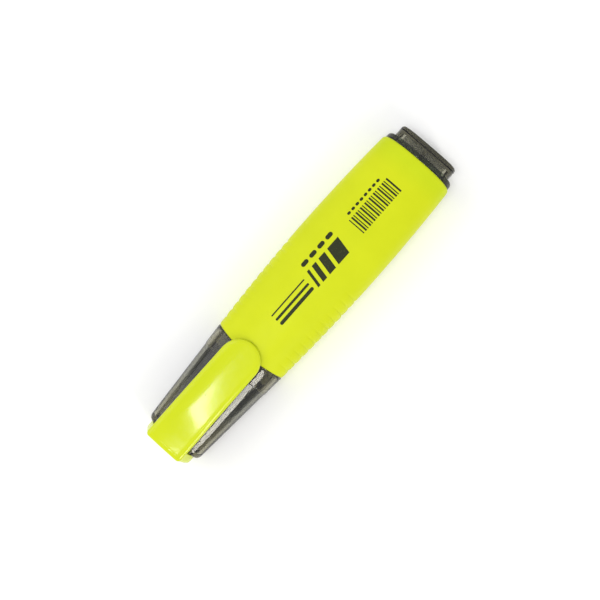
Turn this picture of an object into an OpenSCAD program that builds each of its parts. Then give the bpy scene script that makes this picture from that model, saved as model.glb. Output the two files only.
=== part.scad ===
// Flat-bodied highlighter with a clip cap, capped and lying on its back.
// X runs along the pen, with the nib towards -X and the tail towards +X. The clip is on top, at +Z.
// Every module draws in the pen's own axis, and lifted() sets that axis above the table.

/* [Pen] */
// Length from the clip's root to the tail boss
total_len = 116.5; // [115:0.1:118]
// Width of the barrel at its widest
barrel_w = 27.1; // [26.8:0.1:28]
// Thickness of the barrel at its thickest
barrel_t = 17; // [16.8:0.1:17.6]
// Barrel wall
wall = 1.3; // [1.2:0.05:1.4]

/* [Grip] */
// Finger grooves on each edge
rib_count = 11; // [6:1:12]
// Distance from groove to groove
rib_pitch = 2.82; // [2.5:0.02:2.9]
// Depth of each groove
rib_depth = 0.35; // [0.1:0.05:0.5]

/* [Cap] */
// Length of the smoke shell
cap_len = 33.8; // [33.3:0.1:34.3]
// Width of the shell's narrow end
cap_end_w = 19.1; // [18.8:0.1:19.6]
// Thickness of the shell's narrow end
cap_end_t = 11.8; // [11.6:0.1:12.2]
// Shell wall
cap_wall = 1.2; // [1.1:0.05:1.3]

/* [Clip] */
// Width at the root
clip_root_w = 12.8; // [12:0.1:13.2]
// Width at the tip
clip_tip_w = 12.5; // [12:0.1:13.2]
// Thickness of the arm
clip_t = 1.8; // [1.4:0.1:2.2]
// How far the tip laps over the barrel
clip_lap = 2.3; // [1.2:0.1:3.2]

/* [Tail plug] */
// Flange that meets the barrel's end
flange_t = 1.7; // [1.3:0.1:2]
// Length of the boss beyond the flange
boss_len = 4; // [3.5:0.1:4.5]
// Width of the boss
boss_w = 20.5; // [19:0.1:21]
// Thickness of the boss
boss_t = 11.2; // [10:0.1:11.6]

/* [Nib] */
// Width of the chisel nib
nib_w = 5; // [4.6:0.1:5]
// Thickness of the chisel nib
nib_t = 3; // [2.6:0.1:3]

/* [Hidden] */
$fn = 72;

sides = 48;        // points round an oval section
body_n = 2.4;      // how square the body's oval is; 2 is an ellipse
boss_n = 4;        // the boss is nearly a rounded rectangle
slot_n = 8;        // a slot is nearly a rectangle
fit = 0.05;        // gap round a piece that is pressed or slid into another
front_r = 0.3;     // rounding of the barrel's front edge, at the seam
edge_r = 0.8;      // rounding of the barrel's rear edge

// Stations along the pen
x_end = -total_len / 2;
plug_head = 3.2;                     // part of the end plug that shows
x_cap = x_end + plug_head;           // narrow end of the shell
x_mouth = x_cap + cap_len;           // wide end of the shell
seam = 0.2;
x_front = x_mouth + seam;            // front edge of the barrel
x_tail = total_len / 2;
x_flange = x_tail - boss_len;
x_rear = x_flange - flange_t;        // rear edge of the barrel
mouth_bow = 1.4;                     // the seam bows towards the nib in the middle

// Outline of the barrel: one long arc in plan and one in side view
x_wide = 19.5;
plan_r = 570;
side_r = 1000;
function arc_drop(d, r) = r - sqrt(r * r - d * d);
function barrel_a(x) = barrel_w / 2 - arc_drop(x - x_wide, plan_r);
function barrel_b(x) = barrel_t / 2 - arc_drop(x - x_wide, side_r);

// Outline of the cap: straight tapers from the barrel's front edge to the narrow end
mouth_step = 0.1;                    // the shell sits this far inside the barrel's outline
mouth_a = barrel_a(x_mouth) - mouth_step;
mouth_b = barrel_b(x_mouth) - mouth_step;
function taper(x, tip, mouth) = tip + (mouth - tip) * (x - x_cap) / cap_len;
function cap_a(x) = taper(x, cap_end_w / 2, mouth_a);
function cap_b(x) = taper(x, cap_end_t / 2, mouth_b);

// A station is [x, half width, half thickness, squareness, bow, groove depth].
function signed_pow(v, e) = sign(v) * pow(abs(v), e);
function smooth(v) = let (c = min(1, max(0, v))) c * c * (3 - 2 * c);
groove_from = 0.6;                   // grooves fade in from this share of the half width
groove_full = 0.9;
function station_point(s, t) =
    let (e = 2 / s[3],
         y = s[1] * signed_pow(cos(t), e),
         z = s[2] * signed_pow(sin(t), e),
         bow = is_undef(s[4]) ? 0 : s[4],
         groove = is_undef(s[5]) ? 0 : s[5],
         fade = smooth((abs(y) / s[1] - groove_from) / (groove_full - groove_from)),
         shrink = 1 - groove * fade / s[1])
    [s[0] - bow * (1 - pow(y / mouth_a, 2)), y * shrink, z * shrink];

// A solid through the stations. With looped, the last station joins the first, as in a tube wall.
module oval_loft(stations, looped = false) {
    rows = len(stations);
    ring_points = [for (s = stations) for (i = [0 : sides - 1]) station_point(s, 360 * i / sides)];
    centres = looped ? [] : [[stations[0][0], 0, 0], [stations[rows - 1][0], 0, 0]];
    spans = looped ? rows : rows - 1;
    walls = [for (r = [0 : spans - 1]) for (i = [0 : sides - 1])
        let (j = (i + 1) % sides, q = (r + 1) % rows)
        for (f = [[r * sides + i, q * sides + i, q * sides + j],
                  [r * sides + i, q * sides + j, r * sides + j]]) f];
    first = rows * sides;
    last_ring = (rows - 1) * sides;
    lids = looped ? [] : [for (i = [0 : sides - 1]) let (j = (i + 1) % sides)
        for (f = [[first, i, j], [first + 1, last_ring + j, last_ring + i]]) f];
    polyhedron(points = concat(ring_points, centres), faces = concat(walls, lids));
}

// Stations that round an edge of radius r from an end face at x; way is 1 if the body lies towards +X.
function rounded_edge(x, a, b, n, r, way, bow = 0, steps = 2) =
    [for (k = [0 : steps]) let (q = 90 * k / steps, inset = r * (1 - sin(q)))
        [x + way * r * (1 - cos(q)), a - inset, b - inset, n, bow]];
function reversed(list) = [for (i = [len(list) - 1 : -1 : 0]) list[i]];

module lifted() translate([0, 0, barrel_t / 2]) children();

// A rectangle with fully round ends, drawn in the plane across the pen, then run along X.
module stadium_bar(x0, x1, w, t)
    translate([x0, 0, 0]) rotate([90, 0, 90]) linear_extrude(x1 - x0) {
        square([w - t, t], center = true);
        for (side = [-1, 1]) translate([side * (w - t) / 2, 0]) circle(d = t);
    }

// Box from one corner to the other.
module block(low, high) translate(low) cube(high - low);

/* Barrel */
socket_len = 8.8;                    // depth of the nib holder's socket
socket_a = 10.5;
socket_b = 6.1;
cavity_a = barrel_a(x_rear) - wall;
cavity_b = barrel_b(x_rear) - wall;
rib_x0 = -18.2;                      // first finger groove
grip_end = rib_x0 + (rib_count - 1) * rib_pitch;
snap_x = x_rear - 3.3;               // where the tail plug's bead snaps in
snap_depth = 0.25;
snap_half = 0.6;

// Fibre bundle and the ribs that centre it
fibre_w = 17;
fibre_t = 10.4;
fibre_x0 = -11;
fibre_x1 = 42;
film = 0.2;
rib_t = 1;

function barrel_outside() = concat(
    rounded_edge(x_front, barrel_a(x_front), barrel_b(x_front), body_n, front_r, 1, mouth_bow),
    [for (i = [0 : 2 * rib_count - 2]) let (x = rib_x0 + i * rib_pitch / 2)
        [x, barrel_a(x), barrel_b(x), body_n, 0, i % 2 == 0 ? rib_depth : 0]],
    [for (k = [1 : 5]) let (x = grip_end + k * (x_rear - edge_r - grip_end) / 6)
        [x, barrel_a(x), barrel_b(x), body_n]],
    reversed(rounded_edge(x_rear, barrel_a(x_rear), barrel_b(x_rear), body_n, edge_r, -1)));

function barrel_inside() = [
    [x_rear, cavity_a, cavity_b, body_n],
    [snap_x + 2 * snap_half, cavity_a, cavity_b, body_n],
    [snap_x + snap_half, cavity_a + snap_depth, cavity_b + snap_depth, body_n],
    [snap_x - snap_half, cavity_a + snap_depth, cavity_b + snap_depth, body_n],
    [snap_x - 2 * snap_half, cavity_a, cavity_b, body_n],
    [x_front + socket_len + 1, cavity_a, cavity_b, body_n],
    [x_front + socket_len, socket_a, socket_b, body_n],
    [x_front, socket_a, socket_b, body_n, mouth_bow]];

module locating_ribs() {
    top = fibre_t / 2 + film + fit;
    edge = fibre_w / 2 + film + fit;
    for (side = [-1, 1]) {
        for (y = [-4.5, 4.5])
            block([fibre_x0, y - rib_t / 2, side > 0 ? top : -cavity_b - 0.3],
                  [fibre_x1, y + rib_t / 2, side > 0 ? cavity_b + 0.3 : -top]);
        block([fibre_x0, side > 0 ? edge : -cavity_a - 0.5, -rib_t / 2],
              [fibre_x1, side > 0 ? cavity_a + 0.5 : -edge, rib_t / 2]);
    }
}

module barrel() {
    color([0.86, 0.92, 0.13]) {
        oval_loft(concat(barrel_outside(), barrel_inside()), looped = true);
        locating_ribs();
    }
}

/* Nib holder */
neck_front = x_mouth - 6.5;          // shoulder that the cap's mouth band slides over
neck_a = 9;
neck_b = 4.7;
neck_len = 3;
cone_len = 9.3;
tip_x = neck_front - neck_len - cone_len;
holder_skirt_x = x_front + socket_len - 0.3;
skirt_wall = 1.2;
slot_gap = 0.2;

function holder_outside() = [
    [tip_x, 3.9, 2.75, body_n],
    [tip_x + 0.5, 4.4, 3.15, body_n],
    [neck_front - neck_len, neck_a, neck_b, body_n],
    [neck_front, neck_a, neck_b, body_n],
    [neck_front, 9.7, 5.45, body_n],
    [neck_front + 0.4, 10, 5.75, body_n],
    [x_mouth - 3.2, 10.14, 5.87, body_n],
    [x_mouth - 2.8, 10.3, 6, body_n],
    [x_mouth - 2.4, 10.18, 5.9, body_n],
    [x_front + 0.5, 10.3, 6, body_n],
    [x_front + 0.5, socket_a - fit, socket_b - fit, body_n],
    [holder_skirt_x, socket_a - fit, socket_b - fit, body_n]];

function holder_inside() = [
    [holder_skirt_x, socket_a - skirt_wall, socket_b - skirt_wall, body_n],
    [neck_front + 1.6, 8.8, 4.6, body_n],
    [neck_front + 0.6, neck_a - skirt_wall, neck_b - 1, body_n],
    [neck_front - neck_len, neck_a - skirt_wall, neck_b - 1, body_n],
    [neck_front - neck_len - 4, 4.6, 2.5, 3],
    [tip_x + 4, nib_w / 2 + slot_gap, nib_t / 2 + slot_gap, slot_n],
    [tip_x, nib_w / 2 + slot_gap, nib_t / 2 + slot_gap, slot_n]];

// Air reaches the reservoir past the nib through two slots in the cone.
module air_slots()
    for (side = [-1, 1])
        block([tip_x - 1, side > 0 ? nib_w / 2 - 0.2 : -nib_w / 2 - 0.7, -0.4],
              [tip_x + 4.5, side > 0 ? nib_w / 2 + 0.7 : 0.2 - nib_w / 2, 0.4]);

module nib_holder() {
    color([0.16, 0.16, 0.15]) difference() {
        oval_loft(concat(holder_outside(), holder_inside()), looped = true);
        air_slots();
    }
}

/* Chisel nib: cut on the slant in plan, and to a blunt edge in side view */
nib_tip_x = tip_x - 8.7;
nib_back_x = fibre_x0 + 3.5;
nib_slant = 2.6;
nib_edge_t = 0.9;
stem_point = 3;
module nib_solid(grow = 0) intersection() {
    translate([0, 0, -nib_t]) linear_extrude(2 * nib_t) polygon([
        [nib_tip_x - grow, -nib_w / 2 - grow],
        [nib_tip_x + nib_slant - grow, nib_w / 2 + grow],
        [nib_back_x - stem_point + grow, nib_w / 2 + grow],
        [nib_back_x + grow, 0.8 + grow],
        [nib_back_x + grow, -0.8 - grow],
        [nib_back_x - stem_point + grow, -nib_w / 2 - grow]]);
    rotate([90, 0, 0]) linear_extrude(2 * nib_w, center = true) polygon([
        [nib_tip_x - grow, -nib_edge_t / 2 - grow],
        [nib_tip_x - grow, nib_edge_t / 2 + grow],
        [nib_tip_x + 6, nib_t / 2 + grow],
        [nib_back_x + grow, nib_t / 2 + grow],
        [nib_back_x + grow, -nib_t / 2 - grow],
        [nib_tip_x + 6, -nib_t / 2 - grow]]);
}

module chisel_nib() {
    color([0.93, 0.9, 0.25]) nib_solid();
}

module ink_reservoir() {
    color([0.9, 0.87, 0.2]) difference() {
        stadium_bar(fibre_x0, fibre_x1, fibre_w, fibre_t);
        nib_solid(0.02);
    }
}

module reservoir_film() {
    color([0.9, 0.92, 0.9]) difference() {
        stadium_bar(fibre_x0, fibre_x1 + 0.6, fibre_w + 2 * film, fibre_t + 2 * film);
        stadium_bar(fibre_x0 - 1, fibre_x1 + 2, fibre_w + 0.04, fibre_t + 0.04);
    }
}

/* Tail plug */
flange_inset = 0.5;                  // flange inside the barrel's outline
plug_depth = 7;
plug_skirt = 1.1;
boss_wall = 1.05;
boss_end = 1.7;
web_t = 0.9;
boss_a = boss_w / 2;
boss_b = boss_t / 2;
flange_a = barrel_a(x_rear) - flange_inset;
flange_b = barrel_b(x_rear) - flange_inset;
skirt_a = cavity_a - fit;
skirt_b = cavity_b - fit;

function tail_inside() = [
    [x_tail - boss_end, boss_a - boss_wall, boss_b - boss_wall, boss_n],
    [x_flange, boss_a - boss_wall, boss_b - boss_wall, boss_n],
    [x_rear - 0.4, skirt_a - plug_skirt - 0.2, skirt_b - plug_skirt - 0.2, body_n],
    [x_rear - plug_depth, skirt_a - plug_skirt, skirt_b - plug_skirt, body_n]];

function tail_outside() = concat(
    [[x_rear - plug_depth, skirt_a - 0.3, skirt_b - 0.3, body_n],
     [snap_x - 2 * snap_half, skirt_a, skirt_b, body_n],
     [snap_x - snap_half / 2, skirt_a + snap_depth, skirt_b + snap_depth, body_n],
     [snap_x + snap_half / 2, skirt_a + snap_depth, skirt_b + snap_depth, body_n],
     [snap_x + 2 * snap_half, skirt_a, skirt_b, body_n],
     [x_rear, skirt_a, skirt_b, body_n],
     [x_rear, flange_a, flange_b, body_n],
     [x_flange - 0.8, flange_a, flange_b, body_n],
     [x_flange - 0.25, flange_a - 0.25, flange_b - 0.25, body_n],
     [x_flange, flange_a - 0.7, flange_b - 0.7, body_n],
     [x_flange, boss_a, boss_b, boss_n]],
    reversed(rounded_edge(x_tail, boss_a, boss_b, boss_n, 0.6, -1)));

module tail_plug() {
    color([0.27, 0.27, 0.25]) {
        oval_loft(concat(tail_inside(), tail_outside()));
        block([x_rear - plug_depth + 1, -web_t / 2, -boss_b + boss_wall / 2],
              [x_tail - boss_end / 2, web_t / 2, boss_b - boss_wall / 2]);
    }
}

/* Cap shell */
collar_len = 6.9;                    // band at the mouth, a touch prouder than the rest
collar_step = 0.12;
end_wall = 1.5;
end_round = 1.6;
opening_a = 6.8;                     // opening in the narrow end for the end plug's neck
opening_b = 3.7;
opening_n = 5;
x_collar = x_mouth - collar_len;
band_wall = cap_wall - 0.3;          // the band is bored out wider, so its wall is thinner

function cap_station(x, grow, bow = 0) = [x, cap_a(x) + grow, cap_b(x) + grow, body_n, bow];

function cap_outside() = concat(
    rounded_edge(x_cap, cap_a(x_cap), cap_b(x_cap), body_n, end_round, 1, steps = 4),
    [cap_station(x_collar - 12, 0),
     cap_station(x_collar, 0),
     cap_station(x_collar + 0.2, collar_step),
     cap_station(x_mouth - 0.3, collar_step, mouth_bow),
     cap_station(x_mouth, collar_step - 0.2, mouth_bow)]);

function cap_inside() = [
    cap_station(x_mouth, 0.2 - band_wall, mouth_bow),
    cap_station(x_mouth - 1, -band_wall, mouth_bow),
    cap_station(x_collar, -band_wall),
    cap_station(x_collar - 0.1, -cap_wall),
    cap_station(x_cap + end_wall, -cap_wall),
    [x_cap + end_wall, opening_a, opening_b, opening_n],
    [x_cap, opening_a, opening_b, opening_n]];

module cap_shell() {
    color([0.3, 0.3, 0.27]) oval_loft(concat(cap_outside(), cap_inside()), looped = true);
}

/* Inner cap: a cup with a foot in the shell's end, which flares out to the shell and seals on the neck */
cup_foot = 0.9;
cup_wall = 0.75;
cup_gap = 0.1;                       // sealing fit on the neck
cup_x0 = x_cap + end_wall;
cup_mouth_x = neck_front - 0.4;
lip_a = neck_a + cup_gap;
lip_b = neck_b + cup_gap;
lip_len = 2.6;
cup_end_a = 6.4;
cup_end_b = 3.8;
cup_flare_x = x_cap + 10;            // the flare begins here
cup_wide_x = x_mouth - 15.5;         // and reaches the shell here
cup_play = 0.12;
cup_wide_a = cap_a(cup_wide_x) - cap_wall - cup_play;
cup_wide_b = cap_b(cup_wide_x) - cap_wall - cup_play;

function cup_outside() = [
    [cup_x0, cap_a(cup_x0) - cap_wall - fit, cap_b(cup_x0) - cap_wall - fit, body_n],
    [cup_x0 + cup_foot, cap_a(cup_x0) - cap_wall - fit, cap_b(cup_x0) - cap_wall - fit, body_n],
    [cup_x0 + cup_foot, cup_end_a, cup_end_b, body_n],
    [cup_flare_x, cup_end_a, cup_end_b, body_n],
    [cup_wide_x, cup_wide_a, cup_wide_b, body_n],
    [cup_mouth_x, cap_a(cup_mouth_x) - cap_wall - cup_play, cap_b(cup_mouth_x) - cap_wall - cup_play, body_n]];

function cup_inside() = [
    [cup_mouth_x, lip_a + 0.2, lip_b + 0.2, body_n],
    [cup_mouth_x - 0.6, lip_a, lip_b, body_n],
    [cup_mouth_x - lip_len, lip_a, lip_b, body_n],
    [cup_wide_x, cup_wide_a - cup_wall, cup_wide_b - cup_wall, body_n],
    [cup_flare_x + cup_wall, cup_end_a - cup_wall, cup_end_b - cup_wall, body_n],
    [cup_x0 + cup_foot + cup_wall, cup_end_a - cup_wall, cup_end_b - cup_wall, body_n]];

module inner_cap() {
    color([0.42, 0.42, 0.4]) oval_loft(concat(cup_outside(), cup_inside()));
}

/* End plug: head outside the shell, neck through its opening, and a riser that seats the clip */
head_a = 8.1;
head_b = 4.8;
head_round = 1.9;
pivot_x = x_end + 1.8;
pivot_z = 7.9;
pivot_r = 1.5;
pivot_gap = 0.08;
riser_z = pivot_z - 1.2;             // top of the riser, which narrows from the head to the clip's root

module cap_end_plug() {
    color([0.86, 0.92, 0.13]) difference() {
        union() {
            oval_loft(concat(rounded_edge(x_end, head_a, head_b, boss_n, head_round, 1, steps = 3),
                             [[x_cap, head_a, head_b, boss_n],
                              [x_cap, opening_a - fit, opening_b - fit, opening_n],
                              [x_cap + end_wall, opening_a - fit, opening_b - fit, opening_n]]));
            translate([x_end, 0, 0]) rotate([90, 0, 90]) linear_extrude(plug_head) polygon([
                [-head_a + 1, 2.5], [-clip_root_w / 2, riser_z],
                [clip_root_w / 2, riser_z], [head_a - 1, 2.5]]);
        }
        translate([pivot_x, 0, pivot_z]) rotate([90, 0, 0])
            cylinder(r = pivot_r + pivot_gap, h = 2 * head_a, center = true);
    }
}

/* Clip arm: plan outline, side outline and a crowned top, and a grip bead under it */
clip_tip_x = x_mouth + clip_lap;
clip_gap = 0.4;                      // clear of the barrel under the tip
clip_low = barrel_b(clip_tip_x) + clip_gap;
crown_r = 40;
crown_spare = 0.5;                   // the side outline stands this far above the crown that trims it
bead_r = 0.6;
bead_len = 6;
bead_x = x_mouth - 3;
bead_drop = 0.3;

module clip_plan() {
    tip_r = clip_tip_w / 2;
    corner_x = clip_tip_x - tip_r;
    polygon([[pivot_x, -clip_root_w / 2], [corner_x, -tip_r], [corner_x, tip_r], [pivot_x, clip_root_w / 2]]);
    translate([corner_x, 0]) circle(r = tip_r);
}

// The arm leaves the pivot low and rises to run level over the cap.
module clip_side() {
    rise_x = pivot_x + 12;
    low_root = pivot_z - pivot_r + 0.6;
    high = clip_low + clip_t + crown_spare;
    polygon([[pivot_x, low_root], [rise_x, clip_low], [clip_tip_x + 1, clip_low],
             [clip_tip_x + 1, high], [rise_x, high], [pivot_x, pivot_z + pivot_r - 0.1]]);
}

module clip_arm() {
    color([0.86, 0.92, 0.13]) {
        intersection() {
            linear_extrude(3 * pivot_z) clip_plan();
            rotate([90, 0, 0]) linear_extrude(2 * clip_tip_w, center = true) clip_side();
            translate([x_end - 1, 0, clip_low + clip_t - crown_r]) rotate([0, 90, 0])
                cylinder(r = crown_r, h = total_len, $fn = 180);
        }
        translate([pivot_x, 0, pivot_z]) rotate([90, 0, 0])
            cylinder(r = pivot_r, h = clip_root_w - 0.4, center = true);
        translate([bead_x, 0, clip_low - bead_drop + bead_r]) rotate([90, 0, 0])
            cylinder(r = bead_r, h = bead_len, center = true);
    }
}

lifted() barrel();
lifted() nib_holder();
lifted() chisel_nib();
lifted() ink_reservoir();
lifted() reservoir_film();
lifted() tail_plug();
lifted() cap_shell();
lifted() inner_cap();
lifted() cap_end_plug();
lifted() clip_arm();
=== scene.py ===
"""Looks of the flat-bodied highlighter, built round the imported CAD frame.

X runs along the pen, nib towards -X and tail towards +X. Y is across it and Z is up, with the clip on top.
Shapes are worked out in millimetres from the pen's own axis. make() turns them into metres in the CAD frame.
"""

import math

import bmesh
import bpy
import numpy as np
from mathutils import Matrix, Vector


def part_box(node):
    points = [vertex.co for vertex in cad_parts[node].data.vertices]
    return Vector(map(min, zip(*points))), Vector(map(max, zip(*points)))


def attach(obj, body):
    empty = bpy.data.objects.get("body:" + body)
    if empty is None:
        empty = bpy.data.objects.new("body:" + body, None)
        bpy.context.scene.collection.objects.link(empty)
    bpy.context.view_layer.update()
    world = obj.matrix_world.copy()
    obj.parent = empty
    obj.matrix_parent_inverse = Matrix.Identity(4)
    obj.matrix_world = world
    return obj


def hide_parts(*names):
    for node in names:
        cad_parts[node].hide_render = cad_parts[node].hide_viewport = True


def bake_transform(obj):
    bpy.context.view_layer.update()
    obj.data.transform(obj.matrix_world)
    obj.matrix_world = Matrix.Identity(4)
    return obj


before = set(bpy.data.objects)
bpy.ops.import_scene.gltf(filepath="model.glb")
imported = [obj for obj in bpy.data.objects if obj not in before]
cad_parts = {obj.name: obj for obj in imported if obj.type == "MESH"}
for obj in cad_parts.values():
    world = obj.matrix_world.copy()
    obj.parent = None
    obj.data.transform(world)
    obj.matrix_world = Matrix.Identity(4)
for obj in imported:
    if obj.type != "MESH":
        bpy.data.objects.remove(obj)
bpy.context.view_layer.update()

MM = 0.001


def box_mm(node):
    """Lowest and highest corner of a CAD node, in millimetres."""
    low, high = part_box(node)
    return low / MM, high / MM


# ---------------------------------------------------------------- places, from the frame

barrel_low, barrel_high = box_mm("barrel")
shell_low, shell_high = box_mm("cap_shell")
plug_low = box_mm("cap_end_plug")[0]
clip_high = box_mm("clip_arm")[1]
tail_low, tail_high = box_mm("tail_plug")
holder_low, holder_high = box_mm("nib_holder")
nib_low, nib_high = box_mm("chisel_nib")
cup_low, cup_high = box_mm("inner_cap")

AXIS_Z = (barrel_low.z + barrel_high.z) / 2
X_END = plug_low.x
X_CAP = shell_low.x
X_MOUTH = shell_high.x
SEAM = 0.2  # gap between the cap's mouth and the barrel
X_FRONT = X_MOUTH + SEAM
X_REAR = barrel_high.x
X_TAIL = tail_high.x

# ---------------------------------------------------------------- outlines shared by several pieces

# In names, A is half a width, B is half a height and N is the power of a superellipse.
BODY_N = 2.4
BOSS_N = 4
SLOT_N = 8
INNER_END_N = 5
BARREL_A = (barrel_high.y - barrel_low.y) / 2
BARREL_B = (barrel_high.z - barrel_low.z) / 2
BARREL_WALL = 1.3
X_WIDE = 19.5  # where the barrel is widest
PLAN_R = 570  # curve of its edges, from above and from the side
SIDE_R = 1000
CAP_WALL = 1.2
CAP_END_A = 9.55
CAP_END_B = 5.9
CAP_SHY = 0.1  # how far the cap's mouth stays inside the barrel's outline


def arc_drop(distance, radius):
    """How far an arc has fallen away at a distance from its middle."""
    return radius - math.sqrt(radius * radius - distance * distance)


def barrel_a(x):
    return BARREL_A - arc_drop(x - X_WIDE, PLAN_R)


def barrel_b(x):
    return BARREL_B - arc_drop(x - X_WIDE, SIDE_R)


def cap_half(x, at_end, at_mouth):
    """Half a width or height of the cap, which grows evenly from its closed end to its mouth."""
    return at_end + (at_mouth - at_end) * (x - X_CAP) / (X_MOUTH - X_CAP)


def cap_a(x, grow=0.0):
    return cap_half(x, CAP_END_A, barrel_a(X_MOUTH) - CAP_SHY) + grow


def cap_b(x, grow=0.0):
    return cap_half(x, CAP_END_B, barrel_b(X_MOUTH) - CAP_SHY) + grow


def smooth(value):
    """Eases from 0 to 1."""
    t = min(1.0, max(0.0, value))
    return t * t * (3 - 2 * t)


def barrel_top(x, y):
    """Height of the barrel's top above the pen's axis."""
    share = min(1.0, abs(y) / barrel_a(x))
    return barrel_b(x) * (1 - share**BODY_N) ** (1 / BODY_N)


# ---------------------------------------------------------------- mesh helpers

FINE_POINTS = 2881  # points that an outline is measured with before it is evenly spaced
CORNER_SHARE = 0.49  # the most of a side that a rounded corner takes
WELD = 1e-7  # metres
SHARP = 38  # degrees


def oval(a, b, n, count):
    """Points (y, z) round a superellipse, evenly spaced along it."""
    t = np.linspace(0, 2 * math.pi, FINE_POINTS)
    y = a * np.sign(np.cos(t)) * np.abs(np.cos(t)) ** (2 / n)
    z = b * np.sign(np.sin(t)) * np.abs(np.sin(t)) ** (2 / n)
    run = np.concatenate([[0], np.cumsum(np.hypot(np.diff(y), np.diff(z)))])
    at = np.linspace(0, run[-1], count, endpoint=False)
    return np.stack([np.interp(at, run, y), np.interp(at, run, z)], axis=1)


def rounded(profile, steps=5):
    """Rounds the corners of a run of stations (x, a, b, n, radius). Stations come back as (x, a, b, n)."""
    points = [np.array(p[:4], float) for p in profile]
    out = []
    for i, p in enumerate(points):
        radius = profile[i][4] if len(profile[i]) > 4 else 0
        if radius == 0 or i in (0, len(points) - 1):
            out.append(p)
            continue
        before, after = points[i - 1] - p, points[i + 1] - p
        size_before, size_after = np.linalg.norm(before[:3]), np.linalg.norm(after[:3])
        start = p + before * min(CORNER_SHARE, radius / size_before)
        end = p + after * min(CORNER_SHARE, radius / size_after)
        for t in np.linspace(0, 1, steps):
            out.append((1 - t) ** 2 * start + 2 * t * (1 - t) * p + t**2 * end)
    return out


def bridges(rows, count, looped=False):
    """Faces that join each ring of vertices to the next one."""
    faces = []
    for r in range(rows if looped else rows - 1):
        q = (r + 1) % rows
        for i in range(count):
            j = (i + 1) % count
            faces.append((r * count + i, r * count + j, q * count + j, q * count + i))
    return faces


def end_faces(rows, count):
    """One face over the first ring and one over the last."""
    last = (rows - 1) * count
    return [tuple(range(count)), tuple(range(last, last + count))[::-1]]


def loft(stations, sides=128, looped=False, bow=None):
    """Vertices and faces through oval stations (x, a, b, n). bow(x, y) shifts a point along X."""
    verts = []
    for x, a, b, n in stations:
        for y, z in oval(a, b, n, sides):
            verts.append((x + (bow(x, y) if bow else 0), y, z))
    rows = len(stations)
    faces = bridges(rows, sides, looped)
    if not looped:
        for row, turn in ((0, 1), (rows - 1, -1)):
            ring = list(range(row * sides, (row + 1) * sides))
            centre = len(verts)
            verts.append((stations[row][0], 0, 0))
            for i in range(sides):
                edge = (ring[i], ring[(i + 1) % sides])
                faces.append((centre, *edge[::-turn]))
    return verts, faces


def block(low, high):
    """Vertices and faces of a box."""
    verts = [(x, y, z) for x in (low[0], high[0]) for y in (low[1], high[1]) for z in (low[2], high[2])]
    faces = [(0, 1, 3, 2), (4, 6, 7, 5), (0, 4, 5, 1), (2, 3, 7, 6), (0, 2, 6, 4), (1, 5, 7, 3)]
    return verts, faces


def make(name, shape, material=None, sharp=SHARP):
    """A closed mesh object from vertices in millimetres about the pen's axis."""
    verts, faces = shape
    mesh = bpy.data.meshes.new(name)
    mesh.from_pydata([(x * MM, y * MM, (z + AXIS_Z) * MM) for x, y, z in verts], [], faces)
    obj = bpy.data.objects.new(name, mesh)
    bpy.context.scene.collection.objects.link(obj)
    finish_mesh(obj, sharp)
    if material:
        mesh.materials.append(material)
    return obj


def finish_mesh(obj, sharp=SHARP):
    """Welds, points every face outwards and marks the sharp edges."""
    bm = bmesh.new()
    bm.from_mesh(obj.data)
    bmesh.ops.remove_doubles(bm, verts=bm.verts, dist=WELD)
    bmesh.ops.dissolve_degenerate(bm, edges=bm.edges, dist=WELD)
    bmesh.ops.recalc_face_normals(bm, faces=bm.faces)
    for face in bm.faces:
        face.smooth = True
    bm.to_mesh(obj.data)
    bm.free()
    obj.data.set_sharp_from_angle(angle=math.radians(sharp))


def combine(target, tool, operation):
    """Applies an exact boolean to target and removes the tool."""
    modifier = target.modifiers.new("boolean", "BOOLEAN")
    modifier.operation = operation
    modifier.solver = "EXACT"
    modifier.object = tool
    graph = bpy.context.evaluated_depsgraph_get()
    mesh = bpy.data.meshes.new_from_object(target.evaluated_get(graph))
    target.modifiers.clear()
    old = target.data
    target.data = mesh
    bpy.data.meshes.remove(old)
    bpy.data.objects.remove(tool)
    finish_mesh(target)
    return target


# ---------------------------------------------------------------- materials


def new_material(name):
    """A material with its nodes, its links and its shader."""
    material = bpy.data.materials.new(name)
    material.use_nodes = True
    nodes = material.node_tree.nodes
    return material, nodes, material.node_tree.links, nodes["Principled BSDF"]


def noise(nodes, links, scale, detail=4.0, stretch=(1, 1, 1)):
    """Noise in the object's own coordinates, in cells per metre."""
    coords = nodes.new("ShaderNodeTexCoord")
    mapping = nodes.new("ShaderNodeMapping")
    mapping.inputs["Scale"].default_value = stretch
    texture = nodes.new("ShaderNodeTexNoise")
    texture.inputs["Scale"].default_value = scale
    texture.inputs["Detail"].default_value = detail
    links.new(coords.outputs["Object"], mapping.inputs["Vector"])
    links.new(mapping.outputs["Vector"], texture.inputs["Vector"])
    return texture.outputs["Fac"]


def ramp(nodes, links, source, low, high, stops=(0.3, 0.7)):
    """Turns a noise into a run between two colours or two greys."""
    node = nodes.new("ShaderNodeValToRGB")
    for element, at, value in zip(node.color_ramp.elements, stops, (low, high)):
        element.position = at
        element.color = value if isinstance(value, tuple) else (value, value, value, 1)
    links.new(source, node.inputs["Fac"])
    return node.outputs["Color"]


def bump(nodes, links, height, strength, distance, shader, under=None):
    """Relief in the shader's normal, over an earlier relief if there is one. distance is in metres."""
    node = nodes.new("ShaderNodeBump")
    node.inputs["Strength"].default_value = strength
    node.inputs["Distance"].default_value = distance
    links.new(height, node.inputs["Height"])
    if under:
        links.new(under, node.inputs["Normal"])
    links.new(node.outputs["Normal"], shader.inputs["Normal"])
    return node.outputs["Normal"]


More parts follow.
